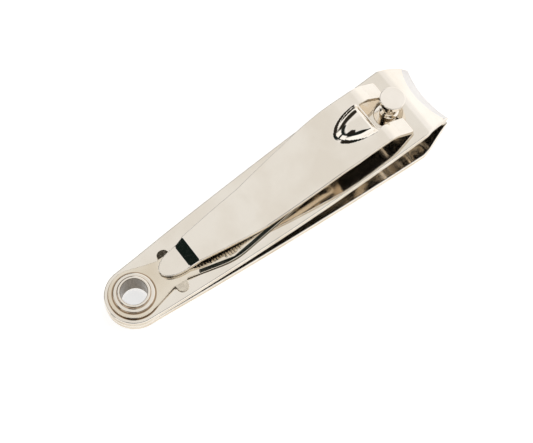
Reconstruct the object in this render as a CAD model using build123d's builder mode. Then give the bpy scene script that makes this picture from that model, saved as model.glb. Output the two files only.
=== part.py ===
from build123d import *
import os
from math import acos, atan, atan2, cos, hypot, radians, sin, sqrt, tan

# Fingernail clipper: two bowed jaws on a hollow rivet, a stud through their noses, a folding lever
# hooked round the stud and a nail file that swings on the rivet.
# Millimetres. The origin is on the rivet's axis where the two jaws meet, +X points to the cutting
# edges, +Z up through the lever.

# Jaws: one pressing, used twice, back to back
LENGTH = 60.0             # rear end to the corners of the cutting edges
JAW_THICKNESS = 1.3
REAR_RADIUS = 4.55        # round rear end
MID_HALF_WIDTH = 6.0      # half way from the rivet to the shoulder
NOSE_LENGTH = 5.35        # cutting corners back to the shoulder, the widest place
BEND_LENGTH = 4.25        # cutting corners back to the bend towards the other jaw
SHOULDER_HALF_WIDTH = 6.5
NOSE_HALF_WIDTH = 5.1
BOW_RADIUS = 727.0        # the jaws curve apart
BOW_START_ANGLE = 1.77    # degrees, so that the jaws part straight from the rivet's axis
SEAT_MARGIN = 0.2         # flat seat on the outer face, beyond the rivet's flange
SEAT_BLEND_X = 9.0        # where the outer face has joined the bow
EDGE_HEIGHT = 0.75        # cutting edge above the middle plane when the mouth is open
EDGE_SAGITTA = 0.8        # hollow of the cutting edge
EDGE_LAND = 0.08
GRIND_ANGLE = 55.0        # degrees, slope of the ground bevel
SHOULDER_FILLET = 0.8
NOSE_BEND_RADIUS = 3.5

# Rivet, a tube with a flange below and a rolled rim above
BORE_RADIUS = 2.05
TUBE_WALL = 0.25
FLANGE_WIDTH = 0.9
FLANGE_THICKNESS = 0.35
RIM_WIDTH = 0.3           # beyond the tube
RIM_HEIGHT = 0.45
WASHER_MARGIN = 0.6       # beyond the rim
WASHER_THICKNESS = 0.3
RIVET_CLEARANCE = 0.05    # radial, lower jaw and file
JAW_ROCK_CLEARANCE = 0.1  # radial, so the upper jaw can rock on the tube
ROCK_GAP = 0.15           # above the upper jaw, taken up when the jaws are squeezed
STACK_GAP = 0.05

# Nail file
FILE_THICKNESS = 0.45
FILE_REST_YAW = -3.5      # degrees, it lies a little askew
FILE_DISC_MARGIN = 0.65   # beyond the washer
FILE_NECK_HALF_WIDTH = 2.3
FILE_NECK_X = 7.8
FILE_SHOULDER_FILLET = 12.0
FILE_WIDE_X = 15.5
FILE_WIDE_HALF_WIDTH = 3.9
FILE_TIP_X = 36.0
FILE_TIP_RADIUS = 0.7
FILE_LIFT = 0.25          # blade above the jaw
FILE_RAMP_MARGIN = 0.3    # washer's rim to the ramp up to the blade
FILE_RAMP_LENGTH = 1.7
EAR_X = 6.75
EAR_HALF_SPAN = 3.75
EAR_RADIUS = 0.95

# Stud, square to the lower jaw where it passes through it
STUD_SETBACK = 8.68       # behind the cutting corners
STUD_RADIUS = 1.5
STUD_CLEARANCE = 0.05     # radial, in the lower jaw
STUD_HOLE_CLEARANCE = 0.65 # radial, in the upper jaw, which travels along the leaning stud
STUD_FOOT_RADIUS = 2.6
STUD_FOOT_THICKNESS = 0.8
STUD_NECK_RADIUS = 1.15
STUD_HEAD_RADIUS = 1.95
STUD_HEAD_THICKNESS = 0.85
STUD_HEAD_CHAMFER = 0.12
STUD_LENGTH = 11.95       # lower jaw's inner face to the top of the head
STUD_NECK_LENGTH = 2.2
STUD_CONE_LENGTH = 0.75

# Lever, a bent strip. Lifts are of its upper surface above the back of the upper jaw.
LEVER_THICKNESS = 0.8
TIP_REAR_X = 4.7
TIP_REAR_LIFT = 1.64
STEP_REAR_X = 8.75
STEP_REAR_LIFT = 1.67
STEP_FRONT_X = 10.6
STEP_FRONT_LIFT = 2.55
WAIST_X = 21.6
WAIST_LIFT = 1.66
FORK_REACH = 1.69         # fork's ends in front of the stud's foot
FORK_END_LIFT = 0.79
FORK_LENGTH = 3.66
KNEE_LIFT = 4.1
CREST_LENGTH = 4.8        # behind the knee
CREST_LIFT = 4.62
RISE_END_LENGTH = 9.6     # behind the knee
RISE_END_LIFT = 4.52
LEVER_BENDS = (0.5, 0.9, 2.5, 9.0, 9.0, 3.5)
TIP_HALF_WIDTH = 2.05
STEP_HALF_WIDTH = 2.4
WAIST_HALF_WIDTH = 3.8
BODY_HALF_WIDTH = 5.05
BODY_LENGTH = 10.46       # full width, back from the fork's ends
SLOT_REACH = 3.4          # slot's rear end behind the stud's foot
SLOT_HALF_WIDTH = 2.45
SLOT_CORNER = 0.3
CROSSBAR = 0.22           # between the slot and the bump
BUMP_LENGTH = 6.2
BUMP_HALF_WIDTH = 2.9
BUMP_HEIGHT = 1.3
BUMP_TAPER = 42.0         # degrees

OVERSIZE = 10.0           # cutting bodies run this far past what they cut

tube_radius = BORE_RADIUS + TUBE_WALL
rim_radius = tube_radius + RIM_WIDTH
flange_radius = tube_radius + FLANGE_WIDTH
washer_radius = rim_radius + WASHER_MARGIN
file_disc_radius = washer_radius + FILE_DISC_MARGIN
seat_x = flange_radius + SEAT_MARGIN
file_ramp_start_x = washer_radius + FILE_RAMP_MARGIN
file_ramp_end_x = file_ramp_start_x + FILE_RAMP_LENGTH

edge_x = LENGTH - REAR_RADIUS
shoulder_x = edge_x - NOSE_LENGTH
bend_x = edge_x - BEND_LENGTH
stud_x = edge_x - STUD_SETBACK
slot_x = stud_x - SLOT_REACH
bump_front_x = slot_x - CROSSBAR
fork_end_x = stud_x + FORK_REACH
knee_x = fork_end_x - FORK_LENGTH
body_x = fork_end_x - BODY_LENGTH

bow_centre_x = -BOW_RADIUS * sin(radians(BOW_START_ANGLE))
bow_centre_z = BOW_RADIUS * cos(radians(BOW_START_ANGLE))


def bow(x, lift=0.0):
    """Height, above the middle plane, of the upper jaw's inner face raised by lift."""
    return bow_centre_z - sqrt((BOW_RADIUS - lift) ** 2 - (x - bow_centre_x) ** 2)


def bow_slope(x):
    return (x - bow_centre_x) / sqrt(BOW_RADIUS**2 - (x - bow_centre_x) ** 2)


def bow_arc(x0, x1, lift=0.0):
    """Three points of the bow between two stations."""
    return [(x, bow(x, lift)) for x in (x0, (x0 + x1) / 2, x1)]


# Jaw blank, the upper way up: side profile cut to the outline, then ground to its cutting edge
lip_x = edge_x - EDGE_SAGITTA - EDGE_LAND
nose_angle = atan((bow(bend_x) - EDGE_HEIGHT) / (lip_x - bend_x))
nose_rise = JAW_THICKNESS / cos(nose_angle)
nose_front = edge_x + 0.2
nose_top_z = EDGE_HEIGHT + nose_rise - (nose_front - lip_x) * tan(nose_angle)
grind_radius = (NOSE_HALF_WIDTH**2 + EDGE_SAGITTA**2) / (2 * EDGE_SAGITTA)
grind_x = edge_x - EDGE_SAGITTA + grind_radius
grind_depth = OVERSIZE * tan(radians(90 - GRIND_ANGLE))

with BuildPart() as jaw_blank:
    with BuildSketch(Plane.XZ) as side:
        with BuildLine():
            rear = -REAR_RADIUS - 1
            Polyline((rear, JAW_THICKNESS), (rear, 0), (0, 0))
            ThreePointArc(*bow_arc(0, bend_x))
            Polyline(
                (bend_x, bow(bend_x)),
                (lip_x, EDGE_HEIGHT),
                (nose_front, EDGE_HEIGHT),
                (nose_front, nose_top_z),
                (bend_x, bow(bend_x, JAW_THICKNESS)),
            )
            ThreePointArc(*bow_arc(bend_x, SEAT_BLEND_X, JAW_THICKNESS))
            Polyline(
                (SEAT_BLEND_X, bow(SEAT_BLEND_X, JAW_THICKNESS)),
                (seat_x, JAW_THICKNESS),
                (rear, JAW_THICKNESS),
            )
        make_face()
        bend = side.vertices().sort_by_distance((bend_x, bow(bend_x, JAW_THICKNESS)))[0]
        fillet(bend, radius=NOSE_BEND_RADIUS)
    extrude(amount=OVERSIZE, both=True)
    with BuildSketch() as outline:
        with BuildLine():
            ThreePointArc((0, REAR_RADIUS), (-REAR_RADIUS, 0), (0, -REAR_RADIUS))
            ThreePointArc(
                (0, -REAR_RADIUS), (shoulder_x / 2, -MID_HALF_WIDTH), (shoulder_x, -SHOULDER_HALF_WIDTH)
            )
            Polyline(
                (shoulder_x, -SHOULDER_HALF_WIDTH),
                (edge_x, -NOSE_HALF_WIDTH),
                (edge_x, NOSE_HALF_WIDTH),
                (shoulder_x, SHOULDER_HALF_WIDTH),
            )
            ThreePointArc(
                (shoulder_x, SHOULDER_HALF_WIDTH), (shoulder_x / 2, MID_HALF_WIDTH), (0, REAR_RADIUS)
            )
        make_face()
        shoulders = outline.vertices().filter_by_position(Axis.X, shoulder_x - 0.1, shoulder_x + 0.1)
        fillet(shoulders, radius=SHOULDER_FILLET)
    extrude(amount=OVERSIZE, both=True, mode=Mode.INTERSECT)
    # the grinding wheel is a cone that narrows down to the hollow cutting edge
    with BuildSketch(Plane.XZ):
        with BuildLine():
            Polyline(
                (grind_x, EDGE_HEIGHT - 1),
                (grind_x - grind_radius, EDGE_HEIGHT - 1),
                (grind_x - grind_radius, EDGE_HEIGHT),
                (grind_x - grind_radius - grind_depth, EDGE_HEIGHT + OVERSIZE),
                (grind_x, EDGE_HEIGHT + OVERSIZE),
                close=True,
            )
        make_face()
    revolve(axis=Axis((grind_x, 0, 0), (0, 0, 1)), mode=Mode.SUBTRACT)

# The stud leans forward, square to the lower jaw's face at its hole
stud_foot_z = -bow(stud_x)
stud_rise = OVERSIZE - 2 * stud_foot_z
stud_lean = atan(bow_slope(stud_x))
stud_direction = Vector(sin(stud_lean), 0, cos(stud_lean))
stud_across = Vector(cos(stud_lean), 0, -sin(stud_lean))
stud_plane = Plane(origin=(stud_x, 0, stud_foot_z), x_dir=stud_across, z_dir=stud_direction)

with BuildPart() as upper_jaw:
    add(jaw_blank.part)
    with BuildSketch():
        Circle(tube_radius + JAW_ROCK_CLEARANCE)
    extrude(amount=OVERSIZE, both=True, mode=Mode.SUBTRACT)
    with BuildSketch(stud_plane):
        Circle(STUD_RADIUS + STUD_HOLE_CLEARANCE)
    extrude(amount=stud_rise, mode=Mode.SUBTRACT)

with BuildPart() as lower_jaw:
    add(mirror(jaw_blank.part, about=Plane.XY))
    with BuildSketch():
        Circle(tube_radius + RIVET_CLEARANCE)
    extrude(amount=OVERSIZE, both=True, mode=Mode.SUBTRACT)
    with BuildSketch(stud_plane):
        Circle(STUD_RADIUS + STUD_CLEARANCE)
    extrude(amount=OVERSIZE, both=True, mode=Mode.SUBTRACT)

# Rivet and washer, turned about the origin's Z axis
file_z = JAW_THICKNESS + ROCK_GAP
washer_z = file_z + FILE_THICKNESS + STACK_GAP
rim_z = washer_z + WASHER_THICKNESS
flange_z = -JAW_THICKNESS - FLANGE_THICKNESS

with BuildPart() as tubular_rivet:
    with BuildSketch(Plane.XZ) as section:
        with BuildLine():
            Polyline(
                (BORE_RADIUS, rim_z + RIM_HEIGHT / 2),
                (BORE_RADIUS, flange_z),
                (flange_radius, flange_z),
                (flange_radius, -JAW_THICKNESS),
                (tube_radius, -JAW_THICKNESS),
                (tube_radius, rim_z),
                (rim_radius, rim_z),
                (rim_radius, rim_z + RIM_HEIGHT / 2),
            )
            rim_middle = (BORE_RADIUS + rim_radius) / 2
            ThreePointArc(
                (rim_radius, rim_z + RIM_HEIGHT / 2),
                (rim_middle, rim_z + RIM_HEIGHT),
                (BORE_RADIUS, rim_z + RIM_HEIGHT / 2),
            )
        make_face()
        flange_corner = section.vertices().sort_by_distance((flange_radius, flange_z))[0]
        fillet(flange_corner, radius=FLANGE_THICKNESS * 0.7)
    revolve(axis=Axis.Z)

with BuildPart() as rivet_washer:
    with BuildSketch(Plane.XY.offset(washer_z)):
        Circle(washer_radius)
        Circle(tube_radius, mode=Mode.SUBTRACT)
    extrude(amount=WASHER_THICKNESS)
    outer_corner = rivet_washer.edges().group_by(Axis.Z)[-1].sort_by(SortBy.RADIUS)[-1]
    fillet(outer_corner, radius=WASHER_THICKNESS * 0.6)

# Nail file: bent like the jaw's back, turned a little about the rivet
file_yaw = radians(FILE_REST_YAW)
file_plan = Plane(origin=(0, 0, 0), x_dir=(cos(file_yaw), sin(file_yaw), 0), z_dir=(0, 0, 1))
file_side = Plane(origin=(0, 0, 0), x_dir=file_plan.x_dir, z_dir=(sin(file_yaw), -cos(file_yaw), 0))
blade_lift = JAW_THICKNESS + FILE_LIFT
blade_top_lift = blade_lift + FILE_THICKNESS

# the neck's sides leave the disc as tangents and run to the ears
ear_rear_x = EAR_X - EAR_RADIUS
neck_reach = hypot(ear_rear_x, FILE_NECK_HALF_WIDTH)
tangent_angle = atan2(FILE_NECK_HALF_WIDTH, ear_rear_x) + acos(file_disc_radius / neck_reach)
tangent_x = file_disc_radius * cos(tangent_angle)
tangent_y = file_disc_radius * sin(tangent_angle)

with BuildPart() as nail_file:
    with BuildSketch(file_side):
        with BuildLine():
            Polyline(
                (0, file_z + FILE_THICKNESS),
                (-file_disc_radius - 1, file_z + FILE_THICKNESS),
                (-file_disc_radius - 1, file_z),
                (file_ramp_start_x, file_z),
                (file_ramp_end_x, bow(file_ramp_end_x, blade_lift)),
            )
            ThreePointArc(*bow_arc(file_ramp_end_x, FILE_TIP_X, blade_lift))
            Line((FILE_TIP_X, bow(FILE_TIP_X, blade_lift)), (FILE_TIP_X, bow(FILE_TIP_X, blade_top_lift)))
            ThreePointArc(*bow_arc(FILE_TIP_X, file_ramp_end_x, blade_top_lift))
            Polyline(
                (file_ramp_end_x, bow(file_ramp_end_x, blade_top_lift)),
                (file_ramp_start_x, file_z + FILE_THICKNESS),
                (0, file_z + FILE_THICKNESS),
            )
        make_face()
    extrude(amount=OVERSIZE, both=True)
    with BuildSketch(file_plan) as file_outline:
        with BuildLine():
            Polyline(
                (tangent_x, tangent_y),
                (ear_rear_x, FILE_NECK_HALF_WIDTH),
                (FILE_NECK_X, FILE_NECK_HALF_WIDTH),
                (FILE_WIDE_X, FILE_WIDE_HALF_WIDTH),
                (FILE_TIP_X, FILE_TIP_RADIUS),
                (FILE_TIP_X, -FILE_TIP_RADIUS),
                (FILE_WIDE_X, -FILE_WIDE_HALF_WIDTH),
                (FILE_NECK_X, -FILE_NECK_HALF_WIDTH),
                (ear_rear_x, -FILE_NECK_HALF_WIDTH),
                (tangent_x, -tangent_y),
                close=True,
            )
        make_face()
        shoulders = file_outline.vertices().filter_by_position(Axis.X, FILE_WIDE_X - 1, FILE_WIDE_X + 1)
        fillet(shoulders, radius=FILE_SHOULDER_FILLET)
        tip = file_outline.vertices().group_by(Axis.X)[-1]
        fillet(tip, radius=FILE_TIP_RADIUS * 0.9)
        Circle(file_disc_radius)
        with Locations((EAR_X, 0)):
            SlotOverall(2 * EAR_HALF_SPAN, 2 * EAR_RADIUS, rotation=90)
    extrude(amount=OVERSIZE, both=True, mode=Mode.INTERSECT)
    with BuildSketch():
        Circle(tube_radius + RIVET_CLEARANCE)
    extrude(amount=OVERSIZE, both=True, mode=Mode.SUBTRACT)

# Stud, turned about its own leaning axis: foot below the lower jaw, shank, neck, cone and head
foot_top = -JAW_THICKNESS - STACK_GAP
foot_bottom = foot_top - STUD_FOOT_THICKNESS
head_bottom = STUD_LENGTH - STUD_HEAD_THICKNESS
cone_bottom = head_bottom - STUD_CONE_LENGTH
neck_bottom = cone_bottom - STUD_NECK_LENGTH

with BuildPart() as stud:
    with BuildSketch(Plane(stud_plane.origin, x_dir=stud_plane.x_dir, z_dir=(0, -1, 0))) as stud_section:
        with BuildLine():
            Polyline(
                (0, foot_bottom),
                (STUD_FOOT_RADIUS, foot_bottom),
                (STUD_FOOT_RADIUS, foot_top),
                (STUD_RADIUS, foot_top),
                (STUD_RADIUS, neck_bottom),
                (STUD_NECK_RADIUS, neck_bottom + STUD_RADIUS - STUD_NECK_RADIUS),
                (STUD_NECK_RADIUS, cone_bottom),
                (STUD_HEAD_RADIUS, head_bottom),
                (STUD_HEAD_RADIUS, STUD_LENGTH - STUD_HEAD_CHAMFER),
                (STUD_HEAD_RADIUS - STUD_HEAD_CHAMFER, STUD_LENGTH),
                (0, STUD_LENGTH),
                close=True,
            )
        make_face()
    revolve(axis=Axis(stud_plane.origin, stud_direction))

# Lever: a bent strip cut to its outline, a fork slot at the front and a pressed bump behind it
lever_stations = (
    (TIP_REAR_X, TIP_REAR_LIFT),
    (STEP_REAR_X, STEP_REAR_LIFT),
    (STEP_FRONT_X, STEP_FRONT_LIFT),
    (WAIST_X, WAIST_LIFT),
    (knee_x - RISE_END_LENGTH, RISE_END_LIFT),
    (knee_x - CREST_LENGTH, CREST_LIFT),
    (knee_x, KNEE_LIFT),
    (fork_end_x, FORK_END_LIFT),
)
lever_top = [(x, bow(x, JAW_THICKNESS) + lift) for x, lift in lever_stations]
crest_z = max(z for x, z in lever_top)

with BuildPart() as lever:
    with BuildSketch(Plane.XZ):
        with BuildLine() as strip:
            FilletPolyline(*lever_top, radius=LEVER_BENDS)
            offset(amount=LEVER_THICKNESS, side=Side.RIGHT)
        make_face()
    extrude(amount=OVERSIZE, both=True)
    with BuildSketch() as lever_outline:
        with BuildLine():
            tip_length = STEP_REAR_X - TIP_REAR_X
            EllipticalCenterArc((STEP_REAR_X, 0), tip_length, TIP_HALF_WIDTH, start_angle=90, arc_size=180)
            Line((STEP_REAR_X, -TIP_HALF_WIDTH), (STEP_FRONT_X, -STEP_HALF_WIDTH))
            ThreePointArc(
                (STEP_FRONT_X, -STEP_HALF_WIDTH), (WAIST_X, -WAIST_HALF_WIDTH), (body_x, -BODY_HALF_WIDTH)
            )
            Polyline(
                (body_x, -BODY_HALF_WIDTH),
                (fork_end_x + 1, -BODY_HALF_WIDTH),
                (fork_end_x + 1, BODY_HALF_WIDTH),
                (body_x, BODY_HALF_WIDTH),
            )
            ThreePointArc(
                (body_x, BODY_HALF_WIDTH), (WAIST_X, WAIST_HALF_WIDTH), (STEP_FRONT_X, STEP_HALF_WIDTH)
            )
            Line((STEP_FRONT_X, STEP_HALF_WIDTH), (STEP_REAR_X, TIP_HALF_WIDTH))
        make_face()
    extrude(amount=OVERSIZE, both=True, mode=Mode.INTERSECT)
    with BuildSketch() as slot:
        with Locations((slot_x + OVERSIZE / 2, 0)):
            RectangleRounded(OVERSIZE, 2 * SLOT_HALF_WIDTH, SLOT_CORNER)
    extrude(amount=OVERSIZE, mode=Mode.SUBTRACT)
    # the bump is pressed up, so it is hollow below
    for lift, mode in ((0, Mode.ADD), (-LEVER_THICKNESS, Mode.SUBTRACT)):
        with BuildSketch(Plane.XY.offset(crest_z + lift - LEVER_THICKNESS / 2)) as bump:
            with BuildLine():
                EllipticalCenterArc(
                    (bump_front_x, 0), BUMP_LENGTH, BUMP_HALF_WIDTH, start_angle=90, arc_size=180
                )
                Line((bump_front_x, -BUMP_HALF_WIDTH), (bump_front_x, BUMP_HALF_WIDTH))
            make_face()
        extrude(amount=BUMP_HEIGHT + LEVER_THICKNESS / 2, taper=BUMP_TAPER, mode=mode)

pieces = {
    "upper_jaw": upper_jaw,
    "lower_jaw": lower_jaw,
    "tubular_rivet": tubular_rivet,
    "rivet_washer": rivet_washer,
    "nail_file": nail_file,
    "stud": stud,
    "lever": lever,
}
os.makedirs("parts", exist_ok=True)
for name, piece in pieces.items():
    piece.part.label = name
    export_step(piece.part, f"parts/{name}.step")
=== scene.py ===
from bisect import bisect_right
from math import acos, atan, atan2, cos, degrees, hypot, pi, radians, sin, sqrt, tan

import bpy
from mathutils import Matrix, Vector
from mathutils.geometry import delaunay_2d_cdt


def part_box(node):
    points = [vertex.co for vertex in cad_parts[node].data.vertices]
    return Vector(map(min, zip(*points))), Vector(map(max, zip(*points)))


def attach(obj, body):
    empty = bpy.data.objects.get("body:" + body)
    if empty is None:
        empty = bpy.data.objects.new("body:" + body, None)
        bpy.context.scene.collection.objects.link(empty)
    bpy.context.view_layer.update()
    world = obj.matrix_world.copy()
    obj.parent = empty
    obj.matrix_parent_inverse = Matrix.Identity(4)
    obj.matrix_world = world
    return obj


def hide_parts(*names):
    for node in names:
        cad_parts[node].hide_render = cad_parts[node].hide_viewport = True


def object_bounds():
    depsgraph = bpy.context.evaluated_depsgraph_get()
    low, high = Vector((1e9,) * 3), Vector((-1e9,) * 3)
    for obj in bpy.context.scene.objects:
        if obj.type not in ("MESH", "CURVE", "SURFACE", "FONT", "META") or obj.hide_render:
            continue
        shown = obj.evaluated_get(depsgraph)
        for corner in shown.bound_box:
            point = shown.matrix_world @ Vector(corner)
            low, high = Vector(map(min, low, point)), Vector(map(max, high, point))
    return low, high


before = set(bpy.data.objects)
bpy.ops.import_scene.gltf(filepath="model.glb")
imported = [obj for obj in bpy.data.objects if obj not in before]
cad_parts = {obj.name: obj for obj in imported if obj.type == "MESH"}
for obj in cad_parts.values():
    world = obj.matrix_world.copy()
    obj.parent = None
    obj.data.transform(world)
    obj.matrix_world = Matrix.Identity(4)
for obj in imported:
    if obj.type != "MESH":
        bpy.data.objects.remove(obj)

# Nail clipper. Lengths are in millimetres up to the meshes' vertices, which are in metres.
MM = 0.001
cad_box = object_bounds()

# ---- Sizes, the same as the frame's ----
JAW_THICKNESS = 1.3
REAR_RADIUS = 4.55
MID_HALF_WIDTH = 6.0
SHOULDER_HALF_WIDTH = 6.5
NOSE_HALF_WIDTH = 5.1
NOSE_LENGTH = 5.35
BEND_LENGTH = 4.25
NOSE_BEND_RADIUS = 3.5
SHOULDER_FILLET = 0.8
BOW_RADIUS = 727.0
BOW_START_ANGLE = 1.77
SEAT_X = 3.4
SEAT_BLEND_X = 9.0
EDGE_HEIGHT = 0.75
EDGE_SAGITTA = 0.8
EDGE_LAND = 0.08
EDGE_THICKNESS = 0.05
GRIND_ANGLE = 55.0
BORE_RADIUS = 2.05
TUBE_RADIUS = 2.3
FLANGE_RADIUS = 3.2
FLANGE_THICKNESS = 0.35
RIM_RADIUS = 2.6
WASHER_RADIUS = 3.2
FILE_DISC_RADIUS = 3.85
FILE_THICKNESS = 0.45
FILE_YAW = -3.5
LEVER_THICKNESS = 0.8
STUD_SETBACK = 8.68

edge_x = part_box("upper_jaw")[1][0] / MM
shoulder_x = edge_x - NOSE_LENGTH
bend_x = edge_x - BEND_LENGTH
stud_x = edge_x - STUD_SETBACK
bow_centre_x = -BOW_RADIUS * sin(radians(BOW_START_ANGLE))
bow_centre_z = BOW_RADIUS * cos(radians(BOW_START_ANGLE))


def bow(x, lift=0.0):
    """Height, above the middle plane, of the upper jaw's inner face raised by lift."""
    return bow_centre_z - sqrt((BOW_RADIUS - lift) ** 2 - (x - bow_centre_x) ** 2)


def bow_angle(x):
    return atan((x - bow_centre_x) / sqrt(BOW_RADIUS**2 - (x - bow_centre_x) ** 2))


# ---- Profiles: lists of (x, z, slope angle) ----
def rounded_path(corners, radii, step=radians(6)):
    """Samples (x, z, direction angle) along a polyline whose inner corners are arcs."""
    samples = [(*corners[0], atan2(corners[1][1] - corners[0][1], corners[1][0] - corners[0][0]))]
    for before, corner, after, radius in zip(corners, corners[1:], corners[2:], radii):
        a0 = atan2(corner[1] - before[1], corner[0] - before[0])
        a1 = atan2(after[1] - corner[1], after[0] - corner[0])
        turn = (a1 - a0 + pi) % (2 * pi) - pi
        side = 1 if turn > 0 else -1
        run = radius * tan(abs(turn) / 2)
        centre = (
            corner[0] - run * cos(a0) - side * radius * sin(a0),
            corner[1] - run * sin(a0) + side * radius * cos(a0),
        )
        count = max(2, int(abs(turn) / step) + 1)
        for i in range(count + 1):
            a = a0 + turn * i / count
            x = centre[0] + side * radius * sin(a)
            z = centre[1] - side * radius * cos(a)
            samples.append((x, z, a))
    last = corners[-1]
    samples.append((*last, atan2(last[1] - corners[-2][1], last[0] - corners[-2][0])))
    return samples


def lookup(profile, x):
    """Height and slope angle of a profile at x."""
    i = min(max(bisect_right(profile, (x,)), 1), len(profile) - 1)
    a, b = profile[i - 1], profile[i]
    t = 0.0 if b[0] == a[0] else (x - a[0]) / (b[0] - a[0])
    return a[1] + t * (b[1] - a[1]), a[2] + t * (b[2] - a[2])


def up_normal(angle):
    return Vector((-sin(angle), 0, cos(angle))).normalized()


# ---- Outlines: closed loops of (x, y), the material on their left ----
def arc(centre, radius, start, end, step=0.35):
    """Points of an arc between two angles in degrees, both ends included."""
    count = max(4, int(abs(radians(end - start)) * radius / step))
    angles = [radians(start + (end - start) * i / count) for i in range(count + 1)]
    return [(centre[0] + radius * cos(a), centre[1] + radius * sin(a)) for a in angles]


def arc_through(p, q, r, step=0.5):
    """Points of the arc from p through q to r."""
    ax, ay, bx, by, cx, cy = *p, *q, *r
    d = 2 * (ax * (by - cy) + bx * (cy - ay) + cx * (ay - by))
    aa, bb, cc = ax * ax + ay * ay, bx * bx + by * by, cx * cx + cy * cy
    ux = (aa * (by - cy) + bb * (cy - ay) + cc * (ay - by)) / d
    uy = (aa * (cx - bx) + bb * (ax - cx) + cc * (bx - ax)) / d
    start = degrees(atan2(ay - uy, ax - ux))
    end = degrees(atan2(cy - uy, cx - ux))
    middle = degrees(atan2(by - uy, bx - ux))
    sweep = (end - start) % 360
    if (middle - start) % 360 > sweep:
        sweep -= 360
    return arc((ux, uy), hypot(ax - ux, ay - uy), start, start + sweep, step)


def round_corners(points, radius_at, step=radians(9)):
    """A closed loop with arcs at the corners named in radius_at {index: radius}."""
    loop = []
    count = len(points)
    for i, corner in enumerate(points):
        radius = radius_at.get(i, 0)
        if not radius:
            loop.append(corner)
            continue
        path = rounded_path([points[i - 1], corner, points[(i + 1) % count]], [radius], step)
        loop += [(x, z) for x, z, angle in path[1:-1]]
    return loop


def thin(loop, gap=1e-4):
    """Drops points that repeat the one before."""
    pairs = zip(loop, [loop[-1], *loop])
    return [p for p, before in pairs if hypot(p[0] - before[0], p[1] - before[1]) > gap]


def refine(loop, step):
    """Splits long sides so that no side is longer than step."""
    out = []
    for i, p in enumerate(loop):
        q = loop[(i + 1) % len(loop)]
        count = max(1, int(hypot(q[0] - p[0], q[1] - p[1]) / step + 0.5))
        for k in range(count):
            out.append((p[0] + (q[0] - p[0]) * k / count, p[1] + (q[1] - p[1]) * k / count))
    return out


def loop_normals(loop):
    """Mitred outward normals (x, y) of a loop."""
    normals = []
    for i, p in enumerate(loop):
        a, b = loop[i - 1], loop[(i + 1) % len(loop)]
        n0 = Vector((p[1] - a[1], a[0] - p[0])).normalized()
        n1 = Vector((b[1] - p[1], p[0] - b[0])).normalized()
        n = (n0 + n1).normalized()
        normals.append(n / max(0.6, n.dot(n1)))
    return normals


def inside(p, loop):
    """True where the point is inside the loop, by counting crossings."""
    x, y = p
    hit = False
    for i, a in enumerate(loop):
        b = loop[i - 1]
        if (a[1] > y) != (b[1] > y) and x < (b[0] - a[0]) * (y - a[1]) / (b[1] - a[1]) + a[0]:
            hit = not hit
    return hit


# ---- Meshes ----
class Skin:
    """Collects vertices, faces and a normal for each face corner."""

    def __init__(self):
        self.points = []
        self.faces = []
        self.normals = []
        self.slots = []

    def add(self, point):
        self.points.append(point)
        return len(self.points) - 1

    def face(self, corners, normals, slot=0):
        self.faces.append(corners)
        self.normals += normals
        self.slots.append(slot)

    def build(self, name, body, node, materials, matrix=None):
        mesh = bpy.data.meshes.new(name)
        placed = [matrix @ Vector(p) if matrix else Vector(p) for p in self.points]
        turn = matrix.to_3x3() if matrix else Matrix.Identity(3)
        mesh.from_pydata([p * MM for p in placed], [], self.faces)
        mesh.polygons.foreach_set("use_smooth", [True] * len(self.faces))
        mesh.polygons.foreach_set("material_index", self.slots)
        mesh.normals_split_custom_set([(turn @ Vector(n)).normalized() for n in self.normals])
        mesh.update()
        piece = bpy.data.objects.new(name, mesh)
        bpy.context.scene.collection.objects.link(piece)
        for material in materials:
            mesh.materials.append(material)
        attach(piece, body)
        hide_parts(node)
        return piece


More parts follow.
